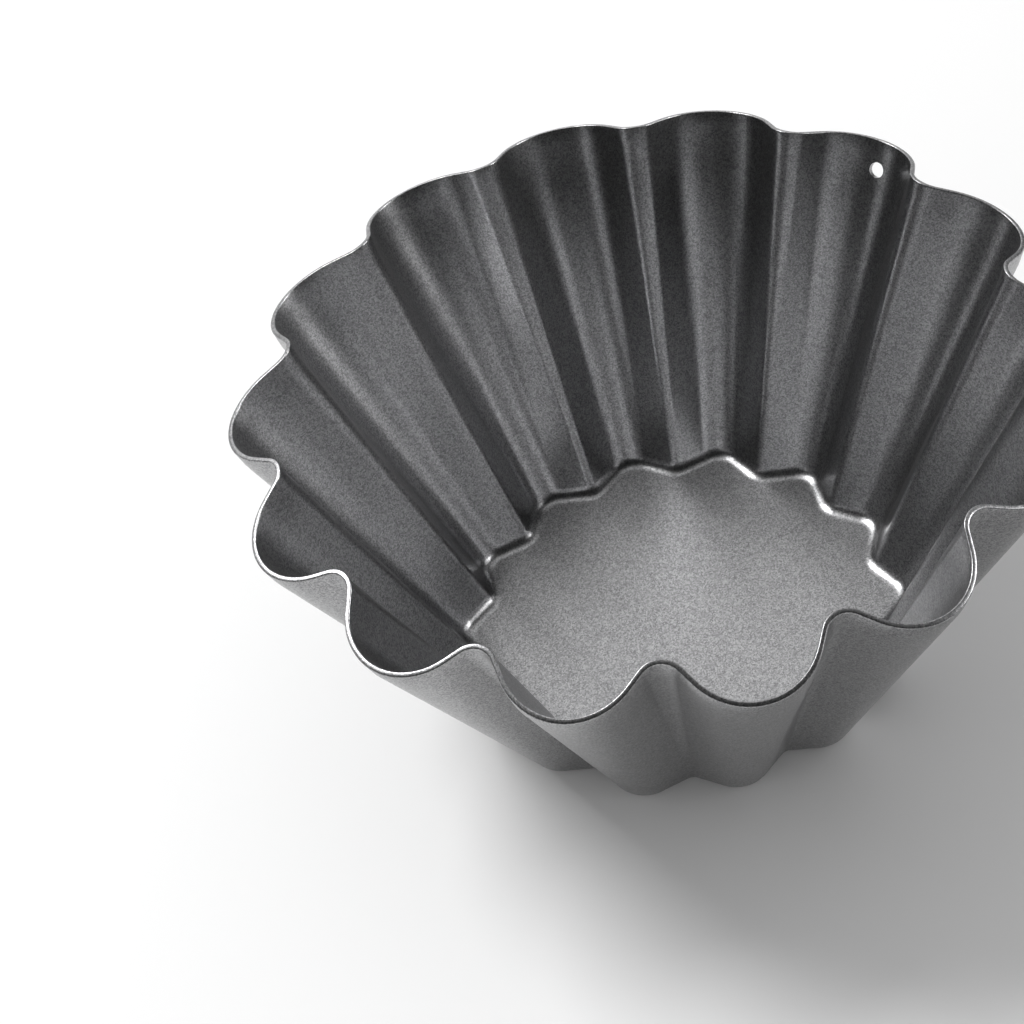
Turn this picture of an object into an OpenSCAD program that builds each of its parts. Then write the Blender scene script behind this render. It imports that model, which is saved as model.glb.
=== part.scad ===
/* [Rim] */
// Number of flutes around the mould
flutes = 14; // [10:1:18]
// Inside radius of the rim at the folds between two flutes
rim_fold_r = 43.6; // [41:0.1:46]
// Inside radius of the rim at the middle of a flute
rim_flute_r = 49.4; // [48.4:0.1:50.4]
// Radius of a flute's round at the rim, on the inside
rim_flute_round = 7.8; // [6.5:0.1:8]
// Radius of a fold's round at the rim, on the inside
rim_fold_round = 3.2; // [2.2:0.1:3.6]
// How far the rim dips from the folds to the middle of a flute
rim_dip = 2.7; // [0:0.1:5]

/* [Floor] */
// Inside radius of the floor corner at the folds
floor_fold_r = 25.4; // [24:0.1:26.5]
// Inside radius of the floor corner at the middle of a flute
floor_flute_r = 28; // [27.4:0.1:28.6]
// Radius of a flute's round at the floor, on the inside
floor_flute_round = 3.7; // [3:0.1:4.2]
// Radius of a fold's round at the floor, on the inside
floor_fold_round = 1.8; // [1.4:0.1:2.4]
// Inside radius of the bend between the floor and the wall
bend_r = 2; // [1:0.1:2.4]

/* [Sheet] */
// Thickness of the coated sheet
sheet = 0.65; // [0.4:0.05:0.9]
// Depth of the cup, from the floor to the rim at the folds
depth = 44.3; // [30:0.1:60]

/* [Lip] */
// Length of wall under the rim that stands a little steeper
lip = 2.3; // [1:0.1:4]
// How far the lip steps in from the line of the wall
lip_set = 0.25; // [0:0.05:0.5]

/* [Hang hole] */
// Diameter of the hang hole
hole_d = 2; // [1:0.1:4]
// Distance along the wall from the rim to the centre of the hole
hole_drop = 4; // [3.6:0.1:20]
// Which flute holds the hole, counted anticlockwise from +X
hole_flute = 2; // [1:1:10]

/* [Hidden] */

// Steps along half a flute's round, along half a fold's round and up the bend
flute_steps = 5;
fold_steps = 4;
bend_steps = 4;
half_pitch = 180 / flutes;
half_points = flute_steps + fold_steps + 1;

// An outline is [fold radius, flute radius, flute round, fold round]
rim_line = [rim_fold_r, rim_flute_r, rim_flute_round, rim_fold_round];
floor_line = [floor_fold_r, floor_flute_r, floor_flute_round, floor_fold_round];

function flute_centre(line) = [line[1] - line[2], 0];
function fold_centre(line) = (line[0] + line[3]) * [cos(half_pitch), sin(half_pitch)];

// Direction of the common tangent's normal between the flute round and the fold round
function tangent_turn(line) =
    let (d = fold_centre(line) - flute_centre(line), near = (line[2] + line[3]) / norm(d))
    atan2(d[1], d[0]) - acos(min(near, 1));

// Normal direction of step i, from the flute's middle (0) to the fold's middle (half_points)
function step_turn(line, i) =
    let (turn = tangent_turn(line))
    i <= flute_steps ? turn * i / flute_steps
                     : turn + (half_pitch - turn) * (i - flute_steps - 1) / fold_steps;

function step_place(line, i) =
    let (a = step_turn(line, i), out = [cos(a), sin(a)])
    i <= flute_steps ? flute_centre(line) + line[2] * out : fold_centre(line) - line[3] * out;

// Turn and mirror a half flute's point into place number j around the ring
function ring_spot(j) =
    let (flute = floor(j / (2 * half_points)), i = j - flute * 2 * half_points - half_points)
    [flute, abs(i), i < 0 ? -1 : 1];

function turned(p, a) = [p[0] * cos(a) - p[1] * sin(a), p[0] * sin(a) + p[1] * cos(a)];

function ring_place(line, j) =
    let (s = ring_spot(j), p = step_place(line, s[1]))
    turned([p[0], p[1] * s[2]], (2 * s[0] + 1) * half_pitch);

function ring_out(line, j) =
    let (s = ring_spot(j), a = step_turn(line, s[1]))
    turned([cos(a), s[2] * sin(a)], (2 * s[0] + 1) * half_pitch);

// Inside edge of the rim, which is trimmed lower in the flutes than at the folds
function rim_z(p) = sheet + depth - rim_dip * (norm(p) - rim_fold_r) / (rim_flute_r - rim_fold_r);
function rim_edge(j) = let (p = ring_place(rim_line, j)) [p[0], p[1], rim_z(p)];
function corner(j) = let (p = ring_place(floor_line, j)) [p[0], p[1], sheet];
function flat_out(j) = let (n = ring_out(floor_line, j)) [n[0], n[1], 0];

// The straight wall aims at a point just outside the rim, and the lip steps in from it
function wall_aim(j) = let (n = ring_out(rim_line, j)) rim_edge(j) + lip_set * [n[0], n[1], 0];
function wall_way(j) = let (w = wall_aim(j) - corner(j)) w / norm(w);
function lean(j) = let (w = wall_aim(j) - corner(j)) atan((w * flat_out(j)) / w[2]);

// Normal of the wall, out of the cup, at place j
function wall_out(j) =
    let (w = wall_way(j), n = flat_out(j) - (flat_out(j) * w) * w)
    n / norm(n);

// Point on the bend at step b, at radius r around the bend's own centre line
function bend_point(j, b, r) =
    let (whole = 90 - lean(j), a = whole * b / bend_steps, back = bend_r * tan(whole / 2))
    corner(j) + (r * sin(a) - back) * flat_out(j) + [0, 0, bend_r - r * cos(a)];

function lip_start(j) = wall_aim(j) - lip * wall_way(j);

// Levels of the skin, from the middle of the outer floor up, over the rim and down inside
outer_levels = bend_steps + 3;
levels = 2 * outer_levels;
function skin_point(k, j) =
    k <= bend_steps ? bend_point(j, k, bend_r + sheet)
    : k == bend_steps + 1 ? lip_start(j) + sheet * wall_out(j)
    : k == bend_steps + 2 ? rim_edge(j) + sheet * wall_out(j)
    : k == bend_steps + 3 ? rim_edge(j)
    : k == bend_steps + 4 ? lip_start(j)
    : bend_point(j, levels - 1 - k, bend_r);

around = flutes * 2 * half_points;

module skin() {
    points = [for (k = [0 : levels - 1]) for (j = [0 : around - 1]) skin_point(k, j)];
    bands = [
        for (k = [0 : levels - 2]) for (j = [0 : around - 1])
            let (a = k * around + j, b = k * around + (j + 1) % around)
            each [[a, a + around, b + around], [a, b + around, b]]
    ];
    under = [for (j = [0 : around - 1]) j];
    inside = [for (j = [0 : around - 1]) levels * around - 1 - j];
    polyhedron(points = points, faces = concat([under], bands, [inside]), convexity = 8);
}

// Place in the ring of the middle of the flute that holds the hang hole
hole_spot = (2 * hole_flute - 2) * half_points + half_points;
hole_reach = 3 * sheet;
module hang_hole() {
    n = wall_out(hole_spot);
    translate(wall_aim(hole_spot) - hole_drop * wall_way(hole_spot) - hole_reach * n)
        rotate([0, acos(n[2]), atan2(n[1], n[0])])
        cylinder(d = hole_d, h = 2 * hole_reach + sheet, $fn = 48);
}

module mould_shell() {
    color("dimgray") difference() {
        skin();
        hang_hole();
    }
}

mould_shell();
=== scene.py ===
import math

import bmesh
import bpy
from mathutils import Matrix, Vector


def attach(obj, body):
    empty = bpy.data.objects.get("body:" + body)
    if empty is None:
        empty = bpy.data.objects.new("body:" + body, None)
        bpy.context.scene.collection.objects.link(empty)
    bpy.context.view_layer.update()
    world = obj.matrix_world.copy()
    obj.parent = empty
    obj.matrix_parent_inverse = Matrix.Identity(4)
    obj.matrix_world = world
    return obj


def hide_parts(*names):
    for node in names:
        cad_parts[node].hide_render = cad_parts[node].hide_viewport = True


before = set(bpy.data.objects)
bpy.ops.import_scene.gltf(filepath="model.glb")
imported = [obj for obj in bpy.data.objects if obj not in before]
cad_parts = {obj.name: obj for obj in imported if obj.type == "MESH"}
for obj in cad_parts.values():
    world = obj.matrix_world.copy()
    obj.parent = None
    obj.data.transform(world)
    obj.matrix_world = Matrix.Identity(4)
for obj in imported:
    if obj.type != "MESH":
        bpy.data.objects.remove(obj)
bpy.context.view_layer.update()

# Shape of the mould in metres, as in the frame's own solid.
# An outline has its radius at the folds and at the flutes, and the radius of each one's round.
FLUTES = 14
HALF_PITCH = math.pi / FLUTES
RIM = {"fold": 0.0436, "flute": 0.0494, "flute_round": 0.0078, "fold_round": 0.0032}
FLOOR = {"fold": 0.0254, "flute": 0.0280, "flute_round": 0.0037, "fold_round": 0.0018}
RIM_DIP = 0.0027
BEND_R = 0.0020
SHEET = 0.00065
DEPTH = 0.0443
LIP = 0.0023
LIP_SET = 0.00025
EDGE_ROUND = 0.00016

# Hang hole: its size, its distance down the wall, and the flute that holds it
HOLE_D = 0.0020
HOLE_DROP = 0.0040
HOLE_FLUTE = 2
HOLE_SIDES = 64
CUTTER_LENGTH = 6 * SHEET

# Steps of the fine skin
FLUTE_STEPS = 14
FOLD_STEPS = 12
BEND_STEPS = 8
WALL_STEPS = 10
EDGE_STEPS = 4
SHARP_ANGLE = math.radians(35)

# The coating: flakes and grain are counted per metre
COATING_ROUGHNESS = 0.30
FLAKES = 6000.0
DARK_FLAKE = (0.15, (0.20, 0.20, 0.205, 1))
PALE_FLAKE = (0.95, (0.46, 0.46, 0.465, 1))
GRAINS = 5200.0
GRAIN_DETAIL = 2.0
GRAIN_STRENGTH = 0.4
GRAIN_HEIGHT = 0.00004

# The photograph's camera, found from the folds of the rim and floor
CAMERA_AZIMUTH = math.radians(-3.786)
CAMERA_ELEVATION = math.radians(46.52)
CAMERA_ROLL = math.radians(-12.41)
CAMERA_DISTANCE = 0.3618
CAMERA_AIM = Vector((-0.01693, 0.02529, SHEET))
CAMERA_LENS = 95.2
CAMERA_SENSOR = 36.0
CAMERA_NEAR = 0.01

# The table: how far it reaches, and its white
TABLE_SIDE = 2.0
TABLE_FRONT = -0.9
TABLE_BACK = 1.2
TABLE_WHITE = (0.92, 0.92, 0.92, 1)
TABLE_ROUGHNESS = 0.9

# The key lamp lights everything, and the sheen lamp shows only as a gleam on the coating
KEY_LAMP = {"place": (-0.45, 0.42, 0.75), "size": 0.45, "watts": 7.5}
SHEEN_LAMP = {"place": (0.75, -0.05, 0.42), "size": 0.3, "watts": 4.5}

# The room: its even light, and what glossy rays see instead, a dark room with two glows.
# A glow is its direction, the cosines where it starts and is full, and its strength.
EVEN_LIGHT = 0.5
DARK_ROOM = 0.02
BACK_GLOW = ((0.0, 0.75, 0.66), 0.55, 0.95, 1.1)
SIDE_GLOW = ((0.93, -0.15, 0.3), 0.90, 0.99, 0.8)
WHITE = (1, 1, 1, 1)


def round_centres(line):
    """Centres of the round of a flute and of the fold beside it."""
    fold = line["fold"] + line["fold_round"]
    return (Vector((line["flute"] - line["flute_round"], 0.0)),
            Vector((fold * math.cos(HALF_PITCH), fold * math.sin(HALF_PITCH))))


def tangent_turn(line):
    """Direction in which both rounds meet their common tangent."""
    flute, fold = round_centres(line)
    gap = fold - flute
    near = min((line["flute_round"] + line["fold_round"]) / gap.length, 1.0)
    return math.atan2(gap.y, gap.x) - math.acos(near)


def half_flute(line):
    """Points and outward directions from the middle of a flute to the middle of a fold."""
    flute, fold = round_centres(line)
    turn = tangent_turn(line)
    spots = []
    for step in range(FLUTE_STEPS + 1):
        angle = turn * step / FLUTE_STEPS
        out = Vector((math.cos(angle), math.sin(angle)))
        spots.append((flute + line["flute_round"] * out, out))
    for step in range(FOLD_STEPS + 1):
        angle = turn + (HALF_PITCH - turn) * step / FOLD_STEPS
        out = Vector((math.cos(angle), math.sin(angle)))
        spots.append((fold - line["fold_round"] * out, out))
    return spots


def outline(line):
    """The whole fluted outline as points and outward directions, anticlockwise."""
    half = half_flute(line)
    mirrored = [(Vector((p.x, -p.y)), Vector((n.x, -n.y))) for p, n in half[:0:-1]]
    one = mirrored + half[:-1]
    spots = []
    for flute in range(FLUTES):
        turn = Matrix.Rotation((2 * flute + 1) * HALF_PITCH, 2)
        spots += [(turn @ p, turn @ n) for p, n in one]
    return spots


def wall_section(rim_spot, floor_spot):
    """One line of the skin: from the outer floor up, over the rim's edge and down inside."""
    rim, rim_out = rim_spot
    floor, floor_out = floor_spot
    dip = RIM_DIP * (rim.length - RIM["fold"]) / (RIM["flute"] - RIM["fold"])
    edge = Vector((rim.x, rim.y, SHEET + DEPTH - dip))
    aim = edge + LIP_SET * Vector((rim_out.x, rim_out.y, 0))
    corner = Vector((floor.x, floor.y, SHEET))
    flat = Vector((floor_out.x, floor_out.y, 0))
    way = (aim - corner).normalized()
    out = (flat - flat.dot(way) * way).normalized()
    whole = math.pi / 2 - math.atan2((aim - corner).dot(flat), (aim - corner).z)
    back = BEND_R * math.tan(whole / 2)

    def bend(step, radius):
        angle = whole * step / BEND_STEPS
        rise = Vector((0, 0, BEND_R - radius * math.cos(angle)))
        return corner + (radius * math.sin(angle) - back) * flat + rise

    lip = aim - LIP * way
    upright = (edge - lip).normalized()
    outside = [bend(step, BEND_R + SHEET) for step in range(BEND_STEPS + 1)]
    inside = [bend(step, BEND_R) for step in range(BEND_STEPS + 1)]
    foot_out, foot_in = outside[-1], inside[-1]
    for step in range(1, WALL_STEPS + 1):
        share = step / WALL_STEPS
        outside.append(foot_out.lerp(lip + SHEET * out, share))
        inside.append(foot_in.lerp(lip, share))
    rounding = []
    for step in range(EDGE_STEPS + 1):
        angle = math.pi / 2 * step / EDGE_STEPS
        rounding.append(((1 - math.cos(angle)) * EDGE_ROUND, (1 - math.sin(angle)) * EDGE_ROUND))
    outside += [edge + (SHEET - side) * out - drop * upright for side, drop in rounding]
    inside += [edge + side * out - drop * upright for side, drop in rounding]
    return outside + inside[::-1]


def link(name, data):
    """A new object of this mesh, lamp or camera, in the scene."""
    thing = bpy.data.objects.new(name, data)
    bpy.context.scene.collection.objects.link(thing)
    return thing


def mesh_of(name, shape):
    """Turn a bmesh into an object and free it."""
    mesh = bpy.data.meshes.new(name)
    shape.to_mesh(mesh)
    shape.free()
    return link(name, mesh)


def hole_cutter():
    """A round bar along the wall's normal, where the hang hole goes."""
    foot = Vector((FLOOR["flute"], 0, SHEET))
    aim = Vector((RIM["flute"] + LIP_SET, 0, SHEET + DEPTH - RIM_DIP))
    way = (aim - foot).normalized()
    normal = Vector((way.z, 0, -way.x))
    centre = aim - HOLE_DROP * way + SHEET / 2 * normal
    turn = Matrix.Rotation((2 * HOLE_FLUTE - 1) * HALF_PITCH, 4, "Z")
    place = Matrix.Translation(centre) @ normal.to_track_quat("Z", "Y").to_matrix().to_4x4()
    shape = bmesh.new()
    bmesh.ops.create_cone(shape, cap_ends=True, segments=HOLE_SIDES, radius1=HOLE_D / 2,
                          radius2=HOLE_D / 2, depth=CUTTER_LENGTH, matrix=turn @ place)
    return mesh_of("hole_cutter", shape)


def skin():
    """The closed skin of the sheet: its sections joined side by side, and the flat floor."""
    sections = [wall_section(r, f) for r, f in zip(outline(RIM), outline(FLOOR))]
    around, levels = len(sections), len(sections[0])
    shape = bmesh.new()
    rings = [[shape.verts.new(section[level]) for section in sections] for level in range(levels)]
    for lower, upper in zip(rings, rings[1:]):
        for j in range(around):
            k = (j + 1) % around
            shape.faces.new((lower[j], lower[k], upper[k], upper[j]))
    shape.faces.new(rings[0][::-1])
    shape.faces.new(rings[-1])
    bmesh.ops.recalc_face_normals(shape, faces=shape.faces)
    return mesh_of("mould", shape)


def mould():
    """The pressed sheet, with the hang hole cut through one flute."""
    piece = skin()
    cutter = hole_cutter()
    cut = piece.modifiers.new("hang_hole", "BOOLEAN")
    cut.operation = "DIFFERENCE"
    cut.solver = "EXACT"
    cut.object = cutter
    graph = bpy.context.evaluated_depsgraph_get()
    finished = bpy.data.meshes.new_from_object(piece.evaluated_get(graph))
    piece.modifiers.clear()
    piece.data = finished
    bpy.data.objects.remove(cutter)
    for face in finished.polygons:
        face.use_smooth = True
    finished.set_sharp_from_angle(angle=SHARP_ANGLE)
    finished.materials.clear()
    finished.materials.append(coating())
    return piece


def coating():
    """Dark non-stick coating: fine metal flakes in a satin grey film."""
    material = bpy.data.materials.new("coating")
    material.use_nodes = True
    nodes, links = material.node_tree.nodes, material.node_tree.links
    shader = nodes["Principled BSDF"]
    shader.inputs["Metallic"].default_value = 1.0
    shader.inputs["Roughness"].default_value = COATING_ROUGHNESS
    place = nodes.new("ShaderNodeTexCoord")

    flakes = nodes.new("ShaderNodeTexVoronoi")
    flakes.inputs["Scale"].default_value = FLAKES
    links.new(place.outputs["Object"], flakes.inputs["Vector"])
    tones = nodes.new("ShaderNodeValToRGB")
    for stop, (position, colour) in zip(tones.color_ramp.elements, (DARK_FLAKE, PALE_FLAKE)):
        stop.position = position
        stop.color = colour
    links.new(flakes.outputs["Color"], tones.inputs["Fac"])
    links.new(tones.outputs["Color"], shader.inputs["Base Color"])

    grain = nodes.new("ShaderNodeTexNoise")
    grain.inputs["Scale"].default_value = GRAINS
    grain.inputs["Detail"].default_value = GRAIN_DETAIL
    links.new(place.outputs["Object"], grain.inputs["Vector"])
    bump = nodes.new("ShaderNodeBump")
    bump.inputs["Strength"].default_value = GRAIN_STRENGTH
    bump.inputs["Distance"].default_value = GRAIN_HEIGHT
    links.new(grain.outputs["Fac"], bump.inputs["Height"])
    links.new(bump.outputs["Normal"], shader.inputs["Normal"])
    return material


def table():
    """A large plain white table under the mould."""
    white = bpy.data.materials.new("table_white")
    white.use_nodes = True
    shader = white.node_tree.nodes["Principled BSDF"]
    shader.inputs["Base Color"].default_value = TABLE_WHITE
    shader.inputs["Roughness"].default_value = TABLE_ROUGHNESS
    shader.inputs["Specular IOR Level"].default_value = 0.0
    corners = [(-TABLE_SIDE, TABLE_FRONT, 0), (TABLE_SIDE, TABLE_FRONT, 0),
               (TABLE_SIDE, TABLE_BACK, 0), (-TABLE_SIDE, TABLE_BACK, 0)]
    mesh = bpy.data.meshes.new("table")
    mesh.from_pydata(corners, [], [(0, 1, 2, 3)])
    mesh.materials.append(white)
    link("table", mesh)


def lamp(name, place, size, watts, lights_table=True):
    """A round soft lamp aimed at the mould's base."""
    light = bpy.data.lights.new(name, "AREA")
    light.shape = "DISK"
    light.size = size
    light.energy = watts
    body = link(name, light)
    body.location = place
    body.rotation_euler = (-Vector(place)).to_track_quat("-Z", "Y").to_euler()
    body.visible_diffuse = lights_table


def glow(nodes, links, way, start, end, strength):
    """How bright the room is in each direction, from nothing to strength along way."""
    place = nodes.new("ShaderNodeTexCoord")
    aim = nodes.new("ShaderNodeVectorMath")
    aim.operation = "DOT_PRODUCT"
    aim.inputs[1].default_value = Vector(way).normalized()
    links.new(place.outputs["Generated"], aim.inputs[0])
    fade = nodes.new("ShaderNodeMapRange")
    fade.interpolation_type = "SMOOTHSTEP"
    fade.inputs["From Min"].default_value = start
    fade.inputs["From Max"].default_value = end
    fade.inputs["To Max"].default_value = strength
    links.new(aim.outputs["Value"], fade.inputs["Value"])
    return fade.outputs["Result"]


def room():
    """Even pale light all round, and for reflections a dark room with a bright back and right."""
    world = bpy.data.worlds.new("room")
    world.use_nodes = True
    nodes, links = world.node_tree.nodes, world.node_tree.links
    even = nodes["Background"]
    even.inputs["Color"].default_value = WHITE
    even.inputs["Strength"].default_value = EVEN_LIGHT

    back = nodes.new("ShaderNodeMath")
    back.inputs[1].default_value = DARK_ROOM
    links.new(glow(nodes, links, *BACK_GLOW), back.inputs[0])
    both = nodes.new("ShaderNodeMath")
    links.new(glow(nodes, links, *SIDE_GLOW), both.inputs[0])
    links.new(back.outputs["Value"], both.inputs[1])
    reflected = nodes.new("ShaderNodeBackground")
    reflected.inputs["Color"].default_value = WHITE
    links.new(both.outputs["Value"], reflected.inputs["Strength"])

    path = nodes.new("ShaderNodeLightPath")
    mix = nodes.new("ShaderNodeMixShader")
    links.new(path.outputs["Is Glossy Ray"], mix.inputs["Fac"])
    links.new(even.outputs["Background"], mix.inputs[1])
    links.new(reflected.outputs["Background"], mix.inputs[2])
    links.new(mix.outputs["Shader"], nodes["World Output"].inputs["Surface"])
    bpy.context.scene.world = world


def camera():
    """The photograph's view: the camera looks at CAMERA_AIM, rolled a little clockwise."""
    level = math.cos(CAMERA_ELEVATION)
    back = Vector((math.sin(CAMERA_AZIMUTH) * level, -math.cos(CAMERA_AZIMUTH) * level,
                   math.sin(CAMERA_ELEVATION)))
    right = (-back).cross(Vector((0, 0, 1))).normalized()
    up = right.cross(-back)
    x_axis = math.cos(CAMERA_ROLL) * right + math.sin(CAMERA_ROLL) * up
    y_axis = math.cos(CAMERA_ROLL) * up - math.sin(CAMERA_ROLL) * right
    lens = bpy.data.cameras.new("camera")
    lens.lens = CAMERA_LENS
    lens.sensor_width = CAMERA_SENSOR
    lens.sensor_fit = "HORIZONTAL"
    lens.clip_start = CAMERA_NEAR
    body = link("camera", lens)
    turn = Matrix((x_axis, y_axis, back)).transposed().to_4x4()
    body.matrix_world = Matrix.Translation(CAMERA_AIM + CAMERA_DISTANCE * back) @ turn
    bpy.context.scene.camera = body


piece = mould()
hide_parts("mould_shell")
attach(piece, "root")

table()
lamp("key", **KEY_LAMP)
lamp("sheen", **SHEEN_LAMP, lights_table=False)
room()
camera()
bpy.context.scene.view_settings.view_transform = "Standard"
